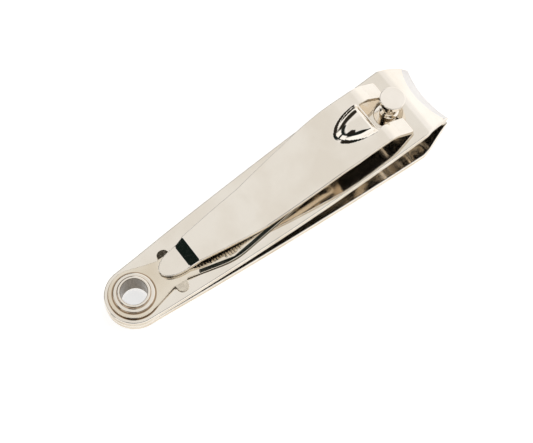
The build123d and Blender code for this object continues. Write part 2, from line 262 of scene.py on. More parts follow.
def sheet(
    skin,
    loops,
    grid,
    top,
    bottom,
    round_edge,
    creases=(),
    flip=False,
    slot_of=None,
    wall_slot=0,
):
    """Adds a pressed sheet to the skin.

    loops are its outline and its holes; grid is a list of points and their spacing. top(x, y, at)
    and bottom(x, y, at) give a height and a normal; at is a point that says which side of a crease
    is meant. Every edge is rounded by round_edge, or by less where the sheet is thin. slot_of
    picks the material of a place on the top, and wall_slot is that of the upright walls.
    """
    steps = 4
    rims = []
    for loop in loops:
        normals = loop_normals(loop)
        rounds = []
        for p, n in zip(loop, normals):
            depth = top(*p, p)[0] - bottom(*p, p)[0]
            rounds.append(min(round_edge, 0.45 * depth))
        rims.append([(p, n, r) for p, n, r in zip(loop, normals, rounds)])
    inner = [[(p[0] - n[0] * r, p[1] - n[1] * r) for p, n, r in rim] for rim in rims]
    coords = [Vector(p) for ring in inner for p in ring]
    edges = []
    first = 0
    for ring in inner:
        count = len(ring)
        edges += [(first + i, first + (i + 1) % count) for i in range(count)]
        first += count
    for line in creases:
        start = len(coords)
        coords += [Vector(p) for p in line]
        edges += [(start + i, start + i + 1) for i in range(len(line) - 1)]
    fixed = {}
    for c in coords:
        fixed.setdefault((round(c.x), round(c.y)), []).append(c)

    def clear(p):
        gap = min(grid[1], 0.3) * 0.5
        for i in (-1, 0, 1):
            for j in (-1, 0, 1):
                for c in fixed.get((round(p[0]) + i, round(p[1]) + j), ()):
                    if hypot(p[0] - c.x, p[1] - c.y) <= gap:
                        return False
        return True

    for p in grid[0]:
        if inside(p, inner[0]) and not any(inside(p, ring) for ring in inner[1:]) and clear(p):
            coords.append(Vector(p))
    flat, _, triangles, origins, _, _ = delaunay_2d_cdt(coords, edges, [], 0, 1e-6)
    flat = [tuple(v) for v in flat]
    kept = []
    for t in triangles:
        middle = (sum(flat[i][0] for i in t) / len(t), sum(flat[i][1] for i in t) / len(t))
        if inside(middle, inner[0]) and not any(inside(middle, ring) for ring in inner[1:]):
            kept.append((list(t), middle))
    sign = -1 if flip else 1

    def put(x, y, z):
        return skin.add((x, y, sign * z))

    def facing(n):
        return Vector((n[0], n[1], sign * n[2]))

    upper = {}
    lower = {}
    for t, middle in kept:
        slot = slot_of(middle) if slot_of else 0
        for i in t:
            if i not in upper:
                x, y = flat[i]
                upper[i] = put(x, y, top(x, y, (x, y))[0])
                lower[i] = put(x, y, bottom(x, y, (x, y))[0])
        a, b, c = (flat[i] for i in t[:3])
        if (b[0] - a[0]) * (c[1] - a[1]) - (b[1] - a[1]) * (c[0] - a[0]) < 0:
            t = t[::-1]
        over = t[::-1] if flip else t
        under = over[::-1]
        above = [facing(top(*flat[i], middle)[1]) for i in over]
        below = [facing(bottom(*flat[i], middle)[1]) for i in under]
        skin.face([upper[i] for i in over], above, slot)
        skin.face([lower[i] for i in under], below)
    where = {origin: i for i, group in enumerate(origins) for origin in group}
    first = 0
    for rim, ring in zip(rims, inner):
        rings = []
        for side, surface in ((1, top), (-1, bottom)):
            for k in range(1, steps + 1) if side == 1 else range(steps, 0, -1):
                row = []
                for (p, n, r), q in zip(rim, ring):
                    a = radians(90.0 * k / steps)
                    inset = r * (1 - sin(a))
                    x, y = p[0] - n[0] * inset, p[1] - n[1] * inset
                    z, up = surface(x, y, q)
                    out = Vector((n[0], n[1], 0)).normalized()
                    row.append((put(x, y, z - side * r * (1 - cos(a))), up * cos(a) + out * sin(a)))
                rings.append(row)
        for number, surface, table in ((0, top, upper), (len(rings), bottom, lower)):
            row = []
            for k, q in enumerate(ring):
                row.append((table[where[first + k]], surface(*q, q)[1]))
            rings.insert(number, row)
        first += len(ring)
        for level, (above, below) in enumerate(zip(rings, rings[1:])):
            slot = wall_slot if level == steps else 0
            for i in range(len(ring)):
                j = (i + 1) % len(ring)
                quad = [above[i], below[i], below[j], above[j]]
                if flip:
                    quad = quad[::-1]
                skin.face([v for v, n in quad], [facing(n) for v, n in quad], slot)


def lathe(skin, path, closed=True, segments=128, bore=None):
    """Turns samples (radius, z, direction angle) about Z; the material is on the path's left.

    Faces nearer the axis than bore get the second material.
    """
    rows = []
    for r, z, a in path:
        if r < 1e-6:
            rows.append([skin.add((0, 0, z))] * segments)
        else:
            turns = [2 * pi * k / segments for k in range(segments)]
            rows.append([skin.add((r * cos(t), r * sin(t), z)) for t in turns])
    pairs = list(zip(range(len(path)), range(1, len(path))))
    if closed:
        pairs.append((len(path) - 1, 0))
    for i, j in pairs:
        slot = 1 if bore and max(path[i][0], path[j][0]) < bore else 0
        for k in range(segments):
            m = (k + 1) % segments
            around = ((i, k), (i, m), (j, m), (j, k))
            corners = [(rows[row][column], row, column) for row, column in around]
            unique = [c for n, c in enumerate(corners) if c[0] != corners[n - 1][0]]
            if len(unique) < 3:
                continue
            normals = []
            for _, row, column in unique:
                a = path[row][2]
                t = 2 * pi * column / segments
                normals.append(Vector((sin(a) * cos(t), sin(a) * sin(t), -cos(a))))
            skin.face([c[0] for c in unique], normals, slot)


def ring_path(corners, radii):
    """A closed rounded path for the lathe."""
    loop = [corners[-1], *corners, corners[0]]
    return [s for s in rounded_path(loop, radii, radians(15))[1:-1]]


# ---- Materials ----
class Nodes:
    """Short calls for wiring one material."""

    def __init__(self, name):
        self.material = bpy.data.materials.new(name)
        self.material.use_nodes = True
        self.tree = self.material.node_tree
        self.shader = self.tree.nodes["Principled BSDF"]

    def new(self, kind, **values):
        node = self.tree.nodes.new(kind)
        for key, value in values.items():
            if key in node.inputs:
                node.inputs[key].default_value = value
            else:
                setattr(node, key, value)
        return node

    def link(self, a, out, b, into):
        self.tree.links.new(a.outputs[out], b.inputs[into])
        return b

    def spread(self, node, out, low, high, a=0.0, b=1.0):
        """Maps a 0..1 texture value on low..high."""
        change = self.new("ShaderNodeMapRange")
        change.inputs["From Min"].default_value = a
        change.inputs["From Max"].default_value = b
        change.inputs["To Min"].default_value = low
        change.inputs["To Max"].default_value = high
        return self.link(node, out, change, "Value")


# The brown laid in the seams is tarnish together with painted shade where the parts meet.
TARNISH_AND_SEAM_SHADE = (0.30, 0.19, 0.10)
TINT_SCALE = 160.0
GRAIN_SCALE = 2600.0
SWELL_SCALE = 210.0


def plated_steel(
    name,
    base,
    dark,
    roughness,
    grain=(1.0, 1.0, 1.0),
    grain_depth=0.02,
    wave=0.15,
    rings=(),
):
    """Bright nickel: a slow change of tint, fine polishing lines and a slightly uneven surface.

    The polishing lines run along the axes where grain is small. rings are radii and half widths,
    about the rivet, of seams browned by tarnish and by painted shade.
    """
    n = Nodes(name)
    n.shader.inputs["Metallic"].default_value = 1.0
    n.shader.inputs["Specular IOR Level"].default_value = 0.5
    place = n.new("ShaderNodeTexCoord")
    cloud = n.link(place, "Object", n.new("ShaderNodeTexNoise", Scale=TINT_SCALE, Detail=4.0), "Vector")
    tint = n.new("ShaderNodeMix", data_type="RGBA")
    tint.inputs[6].default_value = (*dark, 1)
    tint.inputs[7].default_value = (*base, 1)
    n.link(n.spread(cloud, "Fac", 0.0, 1.0, 0.35, 0.65), "Result", tint, 0)
    colour = tint.outputs[2]
    if rings:
        flat = n.new("ShaderNodeVectorMath", operation="MULTIPLY")
        flat.inputs[1].default_value = (1, 1, 0)
        n.link(place, "Object", flat, 0)
        reach = n.link(flat, 0, n.new("ShaderNodeVectorMath", operation="LENGTH"), 0)
    # Each ring browns a seam about the rivet: tarnish, and painted shade where the parts meet.
    for radius, half_width in rings:
        off = n.new("ShaderNodeMath", operation="SUBTRACT")
        off.inputs[1].default_value = radius * MM
        n.link(reach, "Value", off, 0)
        away = n.link(off, 0, n.new("ShaderNodeMath", operation="ABSOLUTE"), 0)
        tarnish_and_shade = n.new("ShaderNodeMix", data_type="RGBA")
        fade = n.spread(away, 0, 0.9, 0.0, 0.3 * half_width * MM, half_width * MM)
        n.link(fade, "Result", tarnish_and_shade, 0)
        n.tree.links.new(colour, tarnish_and_shade.inputs[6])
        tarnish_and_shade.inputs[7].default_value = (*TARNISH_AND_SEAM_SHADE, 1)
        colour = tarnish_and_shade.outputs[2]
    n.tree.links.new(colour, n.shader.inputs["Base Color"])
    stretch = n.link(place, "Object", n.new("ShaderNodeMapping", Scale=grain), "Vector")
    streaks = n.new("ShaderNodeTexNoise", Scale=GRAIN_SCALE, Detail=3.0)
    lines = n.link(stretch, "Vector", streaks, "Vector")
    rough = n.spread(lines, "Fac", roughness * 0.75, roughness * 1.35, 0.3, 0.7)
    n.link(rough, "Result", n.shader, "Roughness")
    swell = n.link(place, "Object", n.new("ShaderNodeTexNoise", Scale=SWELL_SCALE, Detail=1.0), "Vector")
    fine = n.new("ShaderNodeBump", Strength=grain_depth, Distance=0.00002)
    n.link(lines, "Fac", fine, "Height")
    broad = n.new("ShaderNodeBump", Strength=wave, Distance=0.00006)
    n.link(swell, "Fac", broad, "Height")
    n.link(fine, "Normal", broad, "Normal")
    n.link(broad, "Normal", n.shader, "Normal")
    return n.material


WARM = (0.88, 0.825, 0.745)
WARM_DARK = (0.82, 0.755, 0.665)
ALONG = (0.05, 1.0, 1.0)
AROUND = (1.0, 1.0, 0.1)
# The ring at 3.9 mm, just outside the file's disc, is painted shadow of the disc's edge, with tarnish.
jaw_metal = plated_steel(
    "jaw_nickel", WARM, WARM_DARK, 0.075, (0.06, 1.0, 1.0), rings=((3.9, 0.16),)
)
lever_metal = plated_steel("lever_nickel", WARM, WARM_DARK, 0.07, ALONG)
# The rings at the rim's edge, the washer's edge and the bore's lip are painted shade, with tarnish.
turned_metal = plated_steel(
    "turned_nickel",
    WARM,
    WARM_DARK,
    0.06,
    AROUND,
    wave=0.04,
    rings=((2.52, 0.1), (3.14, 0.06), (2.09, 0.05)),
)
stud_metal = plated_steel("stud_nickel", WARM, WARM_DARK, 0.06, AROUND, wave=0.04)
# The ring at 3.25 mm, just outside the washer, is painted shadow of the washer's edge, with tarnish.
file_metal = plated_steel(
    "file_nickel",
    (0.84, 0.765, 0.65),
    (0.75, 0.66, 0.53),
    0.10,
    (0.08, 1.0, 1.0),
    0.05,
    rings=((3.25, 0.16),),
)
# Upright walls and the file's bent ears: a rougher finish, and a darker, browner colour that is painted
# shade, standing for the shaded floor and parts they reflect.
rough_shade_metal = plated_steel(
    "rough_painted_shade", (0.80, 0.72, 0.60), (0.60, 0.50, 0.36), 0.22, (1.0, 1.0, 0.12), 0.25
)
# The rivet's bore is coloured dark brown: painted shade inside the tube.
bore_shade_metal = plated_steel(
    "bore_painted_shade", (0.24, 0.195, 0.145), (0.15, 0.12, 0.085), 0.25, (1.0, 1.0, 0.2), 0.1
)
ground_metal = plated_steel(
    "ground_steel", (0.80, 0.77, 0.745), (0.70, 0.67, 0.645), 0.32, (1.0, 0.08, 1.0), 0.35
)


# ---- Jaws ----
JAW_EDGE_ROUND = 0.2
CUTTING_CORNER_ROUND = 0.12
UPPER_STUD_HOLE = 2.15
LOWER_STUD_HOLE = 1.55
UPPER_TUBE_GAP = 0.1
LOWER_TUBE_GAP = 0.03
lip_x = edge_x - EDGE_SAGITTA - EDGE_LAND
nose_angle = atan((bow(bend_x) - EDGE_HEIGHT) / (lip_x - bend_x))
grind_radius = (NOSE_HALF_WIDTH**2 + EDGE_SAGITTA**2) / (2 * EDGE_SAGITTA)
grind_x = edge_x - EDGE_SAGITTA + grind_radius
nose_front = edge_x + 0.2
nose_top_z = EDGE_HEIGHT + JAW_THICKNESS / cos(nose_angle) - (nose_front - lip_x) * tan(nose_angle)
nose_start_x = bend_x - 4


def bowed_samples(x0, x1, lift, spacing=1.0):
    """Profile samples along the bow raised by lift."""
    count = int((x1 - x0) / spacing)
    stations = [x0 + (x1 - x0) * i / count for i in range(count + 1)]
    return [(x, bow(x, lift), bow_angle(x)) for x in stations]


jaw_back = [(-REAR_RADIUS - 1, JAW_THICKNESS, 0.0), (SEAT_X, JAW_THICKNESS, 0.0)]
jaw_back += bowed_samples(SEAT_BLEND_X, nose_start_x, JAW_THICKNESS)
jaw_back += rounded_path(
    [
        (nose_start_x, bow(nose_start_x, JAW_THICKNESS)),
        (bend_x, bow(bend_x, JAW_THICKNESS)),
        (nose_front, nose_top_z),
    ],
    [NOSE_BEND_RADIUS],
    radians(3),
)[1:]
jaw_face = [(-REAR_RADIUS - 1, 0.0, 0.0), (0.0, 0.0, 0.0)]
jaw_face += bowed_samples(0.0, nose_start_x, 0.0)
jaw_face += rounded_path(
    [
        (nose_start_x, bow(nose_start_x)),
        (bend_x, bow(bend_x)),
        (lip_x, EDGE_HEIGHT),
        (nose_front, EDGE_HEIGHT),
    ],
    [2.0, 0.1],
    radians(3),
)[1:]


def grind(x, y):
    """Height and normal of the ground cone over a point."""
    away = Vector((x - grind_x, y))
    slope = tan(radians(GRIND_ANGLE))
    out = away.normalized()
    z = EDGE_HEIGHT + EDGE_THICKNESS + (away.length - grind_radius) * slope
    return z, Vector((-out.x * slope, -out.y * slope, 1)).normalized()


def jaw_top(x, y, at):
    """The outer face, down to the ground bevel."""
    z, angle = lookup(jaw_back, x)
    ground_z, ground_n = grind(x, y)
    ground = grind(*at)[0] < lookup(jaw_back, at[0])[0]
    return min(z, ground_z), ground_n if ground else up_normal(angle)


def jaw_bottom(x, y, at):
    z, angle = lookup(jaw_face, x)
    return z, -up_normal(angle)


def is_ground(p):
    return 1 if grind(*p)[0] < lookup(jaw_back, p[0])[0] else 0


def grind_line():
    """Where the ground bevel meets the nose."""
    line = []
    count = 40
    span = NOSE_HALF_WIDTH + 0.3
    for i in range(count + 1):
        y = -span + 2 * span * i / count
        low, high = bend_x, edge_x
        for _ in range(30):
            x = (low + high) / 2
            if is_ground((x, y)):
                high = x
            else:
                low = x
        line.append((low, y))
    return line


def jaw_outline():
    right = arc_through(
        (0, -REAR_RADIUS), (shoulder_x / 2, -MID_HALF_WIDTH), (shoulder_x, -SHOULDER_HALF_WIDTH), 0.8
    )
    left = [(x, -y) for x, y in reversed(right)]
    rear = arc((0, 0), REAR_RADIUS, 90, 270, 0.3)
    half_angle = degrees(atan2(NOSE_HALF_WIDTH, grind_radius - EDGE_SAGITTA))
    edge = arc((grind_x, 0), grind_radius, 180 + half_angle, 180 - half_angle, 0.3)
    loop = thin(right[:-1] + [(shoulder_x, -SHOULDER_HALF_WIDTH)] + edge + left + rear)
    corners = {}
    for i, p in enumerate(loop):
        if abs(p[0] - shoulder_x) < 1e-6:
            corners[i] = SHOULDER_FILLET
        if abs(abs(p[1]) - NOSE_HALF_WIDTH) < 1e-3 and p[0] > bend_x:
            corners[i] = CUTTING_CORNER_ROUND
    return refine(thin(round_corners(loop, corners)), 0.8)


def cells(x0, x1, dx, y1, dy):
    """Grid points between x0 and x1, and y from -y1 to y1."""
    columns = int((x1 - x0) / dx) + 1
    rows = int(2 * y1 / dy) + 1
    return [(x0 + i * dx, -y1 + j * dy) for i in range(columns) for j in range(rows)]


def circle(centre, radius, step=0.3):
    """A hole's loop, with the material outside it."""
    return arc(centre, radius, 360, 0, step)[:-1]


def stud_hole(x, radius, lean):
    """The outline, seen from above, of a hole bored along the leaning stud."""
    return [(px / cos(lean) + x, py) for px, py in circle((0, 0), radius)]


lean = bow_angle(stud_x)
stud_foot_z = -bow(stud_x)


def jaw(name, tube_hole, stud_hole_radius, flip):
    """One jaw pressing; the lower one is the upper one turned over, but for its holes."""
    skin = Skin()
    middle = bow(stud_x) + JAW_THICKNESS / 2
    hole_x = stud_x
    if flip:
        hole_x += -sin(lean) * JAW_THICKNESS / 2
    else:
        hole_x += sin(lean) * (middle - stud_foot_z)
    loops = [jaw_outline(), circle((0, 0), tube_hole), stud_hole(hole_x, stud_hole_radius, lean)]
    grid = cells(-4, bend_x - 2, 1.0, 6.3, 0.9) + cells(bend_x - 1.8, edge_x, 0.2, 6.3, 0.45)
    sheet(
        skin,
        loops,
        (grid, 0.45),
        jaw_top,
        jaw_bottom,
        JAW_EDGE_ROUND,
        [grind_line()],
        flip,
        is_ground,
        2,
    )
    body = "frame" if flip else "upper_jaw"
    node = name.replace("_pressing", "")
    # The jaw's upright walls take the third material, which carries painted shade.
    return skin.build(name, body, node, [jaw_metal, ground_metal, rough_shade_metal])


jaw("upper_jaw_pressing", TUBE_RADIUS + UPPER_TUBE_GAP, UPPER_STUD_HOLE, False)
jaw("lower_jaw_pressing", TUBE_RADIUS + LOWER_TUBE_GAP, LOWER_STUD_HOLE, True)


# ---- Rivet and washer ----
ROCK_GAP = 0.15
STACK_GAP = 0.05
WASHER_THICKNESS = 0.3
WASHER_BORE_GAP = 0.02
# How far past the bore's radius the painted shade reaches.
BORE_SHADE_REACH = 0.04
file_z = JAW_THICKNESS + ROCK_GAP
washer_z = file_z + FILE_THICKNESS + STACK_GAP
rim_z = washer_z + WASHER_THICKNESS
rim_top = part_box("tubular_rivet")[1][2] / MM
flange_z = -JAW_THICKNESS - FLANGE_THICKNESS

rivet = Skin()
lathe(
    rivet,
    ring_path(
        [
            (BORE_RADIUS, flange_z),
            (FLANGE_RADIUS, flange_z),
            (FLANGE_RADIUS, -JAW_THICKNESS),
            (TUBE_RADIUS, -JAW_THICKNESS),
            (TUBE_RADIUS, rim_z),
            (RIM_RADIUS, rim_z),
            (RIM_RADIUS, rim_top),
            (BORE_RADIUS, rim_top),
        ],
        [0.15, 0.25, 0.04, 0.03, 0.03, 0.05, 0.3, 0.1],
    ),
    bore=BORE_RADIUS + BORE_SHADE_REACH,
)
# The bore's faces take the second material, which is painted shade.
rivet.build("rivet_tube", "frame", "tubular_rivet", [turned_metal, bore_shade_metal])

washer = Skin()
lathe(
    washer,
    ring_path(
        [
            (TUBE_RADIUS + WASHER_BORE_GAP, washer_z),
            (WASHER_RADIUS, washer_z),
            (WASHER_RADIUS, rim_z),
            (TUBE_RADIUS + WASHER_BORE_GAP, rim_z),
        ],
        [0.03, 0.05, 0.24, 0.03],
    ),
)
washer.build("washer_ring", "frame", "rivet_washer", [turned_metal])


# ---- Stud ----
stud = Skin()
STUD_LENGTH = 11.95
STUD_RADIUS = 1.5
NECK_RADIUS = 1.15
HEAD_RADIUS = 1.95
FOOT_RADIUS = 2.6
FOOT_THICKNESS = 0.8
HEAD_THICKNESS = 0.85
CONE_LENGTH = 0.75
NECK_LENGTH = 2.2
foot_top = -JAW_THICKNESS - STACK_GAP
head_bottom = STUD_LENGTH - HEAD_THICKNESS
cone_bottom = head_bottom - CONE_LENGTH
neck_bottom = cone_bottom - NECK_LENGTH
lathe(
    stud,
    rounded_path(
        [
            (0, foot_top - FOOT_THICKNESS),
            (FOOT_RADIUS, foot_top - FOOT_THICKNESS),
            (FOOT_RADIUS, foot_top),
            (STUD_RADIUS, foot_top),
            (STUD_RADIUS, neck_bottom),
            (NECK_RADIUS, neck_bottom + STUD_RADIUS - NECK_RADIUS),
            (NECK_RADIUS, cone_bottom),
            (HEAD_RADIUS, head_bottom),
            (HEAD_RADIUS, STUD_LENGTH),
            (0, STUD_LENGTH),
        ],
        [0.25, 0.1, 0.04, 0.15, 0.2, 0.3, 0.1, 0.14],
        radians(12),
    ),
    closed=False,
)
stud_place = Matrix.Translation((stud_x, 0, stud_foot_z)) @ Matrix.Rotation(lean, 4, "Y")
stud.build("stud_post", "stud", "stud", [stud_metal], stud_place)


# ---- Nail file ----
FILE_LIFT = 0.25
FILE_RAMP_START_X = 3.5
FILE_RAMP_END_X = 5.2
FILE_NECK_HALF_WIDTH = 2.3
FILE_NECK_X = 7.8
FILE_WIDE_X = 15.5
FILE_WIDE_HALF_WIDTH = 3.9
FILE_TIP_X = 36.0
FILE_TIP_RADIUS = 0.7
EAR_X = 6.75
EAR_HALF_SPAN = 3.75
EAR_RADIUS = 0.95
EAR_SLOPE = 0.42
EAR_UNDERSIDE = 0.45
EAR_BEND_Y = FILE_NECK_HALF_WIDTH + 0.15
TOOTH_PITCH = 0.46
TOOTH_DEPTH = 0.2
TOOTH_SLANT = 0.25
TEETH_START_X = 9.6
TEETH_MARGIN = 0.95
BEVEL_WIDTH = 0.55
BEVEL_SLOPE = 0.55
FILE_EDGE_ROUND = 0.06
FILE_BORE_GAP = 0.05
blade_lift = JAW_THICKNESS + FILE_LIFT + FILE_THICKNESS
file_top_z = file_z + FILE_THICKNESS
file_back = rounded_path(
    [
        (-FILE_DISC_RADIUS - 1, file_top_z),
        (FILE_RAMP_START_X, file_top_z),
        (FILE_RAMP_END_X, bow(FILE_RAMP_END_X, blade_lift)),
        (SEAT_BLEND_X, bow(SEAT_BLEND_X, blade_lift)),
    ],
    [1.5, 1.5],
    radians(1),
)
file_back += bowed_samples(SEAT_BLEND_X, FILE_TIP_X + 1, blade_lift)[1:]


def file_half_width(x):
    """Half width of the blade's toothed part."""
    if x < FILE_WIDE_X:
        t = (x - FILE_NECK_X) / (FILE_WIDE_X - FILE_NECK_X)
        return FILE_NECK_HALF_WIDTH + t * (FILE_WIDE_HALF_WIDTH - FILE_NECK_HALF_WIDTH)
    t = (x - FILE_WIDE_X) / (FILE_TIP_X - FILE_WIDE_X)
    return FILE_WIDE_HALF_WIDTH + t * (FILE_TIP_RADIUS - FILE_WIDE_HALF_WIDTH)


def tooth(x, y):
    """Depth and slope of the cut teeth at a point of the blade."""
    if x < TEETH_START_X or x > FILE_TIP_X - 3 or abs(y) > file_half_width(x) - TEETH_MARGIN:
        return 0.0, 0.0
    phase = ((x + TOOTH_SLANT * y) / TOOTH_PITCH) % 1.0
    fall = TOOTH_DEPTH / (0.7 * TOOTH_PITCH)
    rise = TOOTH_DEPTH / (0.3 * TOOTH_PITCH)
    return (phase / 0.7 * TOOTH_DEPTH, -fall) if phase < 0.7 else ((1 - phase) / 0.3 * TOOTH_DEPTH, rise)


def ear_drop(y):
    """The ears are bent down a little beyond the neck."""
    return max(0.0, abs(y) - EAR_BEND_Y)


def bevel(x, y):
    """Drop and slope of the plain bevel along the blade's edges."""
    into = abs(y) - file_half_width(x) + BEVEL_WIDTH
    if x < TEETH_START_X - 1 or into <= 0:
        return 0.0, 0.0
    lead = min(1.0, (x - TEETH_START_X + 1) / 1.5)
    return into * BEVEL_SLOPE * lead, BEVEL_SLOPE * lead


# Faces of the bent ears take the file's second material, which carries painted shade.
def is_ear(p):
    return 1 if FILE_RAMP_END_X < p[0] < TEETH_START_X - 1 and ear_drop(p[1]) > 0 else 0


def file_top(x, y, at):
    z, angle = lookup(file_back, x)
    ear = at[0] < TEETH_START_X - 1 and ear_drop(at[1]) > 0 and at[0] > FILE_RAMP_END_X
    drop = ear_drop(y) * EAR_SLOPE if ear else 0
    depth = tooth(x, y)[0] + bevel(x, y)[0]
    slope = tooth(*at)[1]
    lean = EAR_SLOPE if ear else bevel(*at)[1]
    side = lean if y > 0 else -lean
    normal = Vector((-tan(angle) - slope, side - slope * TOOTH_SLANT, 1)).normalized()
    return z - depth - drop, normal


def file_bottom(x, y, at):
    z, angle = lookup(file_back, x)
    ear = at[0] < TEETH_START_X - 1 and ear_drop(at[1]) > 0 and at[0] > FILE_RAMP_END_X
    drop = ear_drop(y) * EAR_SLOPE * EAR_UNDERSIDE if ear else 0
    return z - FILE_THICKNESS - drop, -up_normal(angle)


def file_outline():
    neck = FILE_NECK_HALF_WIDTH
    reach = hypot(EAR_X - EAR_RADIUS, neck)
    leave = degrees(atan2(neck, EAR_X - EAR_RADIUS) + acos(FILE_DISC_RADIUS / reach))
    disc = arc((0, 0), FILE_DISC_RADIUS, leave, 360 - leave, 0.3)
    ear_y = EAR_HALF_SPAN - EAR_RADIUS
    near_ear = [(EAR_X - EAR_RADIUS, -neck)] + arc((EAR_X, -ear_y), EAR_RADIUS, 180, 360, 0.2)
    near_ear += [(EAR_X + EAR_RADIUS, -neck)]
    blade = [
        (FILE_NECK_X + 0.3, -file_half_width(FILE_NECK_X + 0.3)),
        (FILE_WIDE_X, -FILE_WIDE_HALF_WIDTH),
        (FILE_TIP_X, -FILE_TIP_RADIUS),
    ]
    half = near_ear + blade
    loop = disc + half + [(x, -y) for x, y in reversed(half)]
    corners = {}
    start = len(disc)
    for k, radius in ((0, 0.35), (len(near_ear) - 1, 0.25)):
        corners[start + k] = radius
        corners[len(loop) - 1 - k] = radius
    for k, radius in ((1, 12.0), (2, 0.6)):
        index = start + len(near_ear) + k
        corners[index] = radius
        corners[len(loop) - 1 - (index - start)] = radius
    return refine(thin(round_corners(loop, corners, radians(6))), 0.3)


def tooth_points():
    """Rows of points on the crests and roots of the teeth."""
    points = []
    first = int(TEETH_START_X / TOOTH_PITCH)
    last = int((FILE_TIP_X + 2) / TOOTH_PITCH)
    for i in range(first, last):
        for phase in (0.0, 0.7):
            for j in range(-8, 9):
                y = j * 0.5
                x = (i + phase) * TOOTH_PITCH - TOOTH_SLANT * y + 1e-4
                if x > TEETH_START_X:
                    points.append((x, y))
    return points


blade = Skin()
file_loops = [file_outline(), circle((0, 0), TUBE_RADIUS + FILE_BORE_GAP)]
file_grid = cells(-3.6, TEETH_START_X, 0.5, 3.6, 0.45) + tooth_points()
file_creases = [
    [(x / 2, side * (file_half_width(x / 2) - BEVEL_WIDTH)) for x in range(17, 69)] for side in (-1, 1)
]
file_creases += [
    [(EAR_X + EAR_RADIUS * i / 8, side * (EAR_BEND_Y + 0.001)) for i in range(-8, 9)] for side in (-1, 1)
]
sheet(
    blade,
    file_loops,
    (file_grid, 0.25),
    file_top,
    file_bottom,
    FILE_EDGE_ROUND,
    file_creases,
    slot_of=is_ear,
    wall_slot=1,
)
file_place = Matrix.Rotation(radians(FILE_YAW), 4, "Z")
# The file's walls and ears take the second material: painted shade.
blade.build("file_blade", "file", "nail_file", [file_metal, rough_shade_metal], file_place)


# ---- Lever ----
FORK_REACH = 1.69
FORK_LENGTH = 3.66
SLOT_REACH = 3.4
CROSSBAR = 0.22
BODY_LENGTH = 10.46
LEVER_EDGE_ROUND = 0.15
BUMP_LENGTH = 6.2
BUMP_HALF_WIDTH = 2.9
BUMP_FRONT = 1.1
# Slope, in degrees, of the bump's wall at distances in from its foot.
BUMP_WALL = (
    (0, 0), (0.1, 27), (0.45, 29), (0.52, 50), (0.88, 44),
    (1.03, 33), (1.6, 22), (2.0, 7), (3.0, 3), (8, 0),
)
# How much wider than BUMP_WALL the wall is at the rear, on the far side and on the near side.
BUMP_REAR_STRETCH = 1.35
BUMP_FAR_STRETCH = 0.85
BUMP_NEAR_STRETCH = 0.42
BUMP_STEEPEST = 1.8
BUMP_HOLLOW = 0.85
TIP_REAR_X = 4.7
STEP_REAR_X = 8.75
STEP_FRONT_X = 10.6
WAIST_X = 21.6
TIP_HALF_WIDTH = 2.05
STEP_HALF_WIDTH = 2.4
WAIST_HALF_WIDTH = 3.8
BODY_HALF_WIDTH = 5.05
SLOT_HALF_WIDTH = 2.45
fork_end_x = stud_x + FORK_REACH
knee_x = fork_end_x - FORK_LENGTH
slot_x = stud_x - SLOT_REACH
bump_front_x = slot_x - CROSSBAR
body_x = fork_end_x - BODY_LENGTH

# Bends of the strip's upper surface and their height above the back of the upper jaw.
lever_stations = (
    (TIP_REAR_X, 1.64),
    (STEP_REAR_X, 1.67),
    (STEP_FRONT_X, 2.55),
    (WAIST_X, 1.66),
    (knee_x - 9.6, 4.52),
    (knee_x - 4.8, 4.62),
    (knee_x, 4.1),
    (fork_end_x, 0.79),
)
lever_corners = [(x, bow(x, JAW_THICKNESS) + lift) for x, lift in lever_stations]
lever_back = rounded_path(lever_corners, (0.5, 0.9, 2.5, 9.0, 9.0, 3.5), radians(2.5))


def wall_profile(stations, step=0.02):
    """Height and slope angle against distance, from slope angles in degrees at a few distances."""
    samples = [(0.0, 0.0, 0.0)]
    for (d0, a0), (d1, a1) in zip(stations, stations[1:]):
        count = int((d1 - d0) / step)
        for i in range(1, count + 1):
            angle = radians(a0 + (a1 - a0) * i / count)
            d, z, before = samples[-1]
            run = (d1 - d0) / count
            samples.append((d + run, z + run * (tan(angle) + tan(before)) / 2, angle))
    return samples


bump_wall = wall_profile(BUMP_WALL)


def bump(x, y):
    """Rise and gradient of the pressed bump, half an oval in plan and steepest near its foot."""
    if x >= bump_front_x:
        return 0.0, 0.0, 0.0
    u = (x - bump_front_x) / BUMP_LENGTH
    v = y / BUMP_HALF_WIDTH
    q = max(hypot(u, v), 1e-3)
    if q >= 1:
        return 0.0, 0.0, 0.0
    rear = (u / q) ** 2
    stretch = BUMP_REAR_STRETCH * rear + (BUMP_NEAR_STRETCH if v < 0 else BUMP_FAR_STRETCH) * (1 - rear)
    spread = hypot(u / BUMP_LENGTH, v / BUMP_HALF_WIDTH) / q
    depth = (1 - q) / max(spread, 1 / BUMP_LENGTH) / stretch
    rise, slope = lookup(bump_wall, depth)
    slope = tan(slope) / stretch
    dx = -slope * u / BUMP_LENGTH / spread / q
    dy = -slope * v / BUMP_HALF_WIDTH / spread / q
    front = (bump_front_x - x) / BUMP_FRONT
    if front < 1:
        ease = 1 - (1 - front) ** 2
        dx = dx * ease - rise * 2 * (1 - front) / BUMP_FRONT
        dy *= ease
        rise *= ease
    return rise, dx, dy


def lever_top(x, y, at):
    z, angle = lookup(lever_back, x)
    rise, dx, dy = bump(x, y)
    if bump(*at)[0] <= 0:
        return z + rise, up_normal(angle)
    if rise <= 0:
        x, y = x + (at[0] - x) * 0.1, y + (at[1] - y) * 0.1
        _, dx, dy = bump(x, y)
    steepness = hypot(dx, dy)
    if steepness > BUMP_STEEPEST:
        dx, dy = dx * BUMP_STEEPEST / steepness, dy * BUMP_STEEPEST / steepness
    return z + rise, Vector((-tan(angle) - dx, -dy, 1)).normalized()


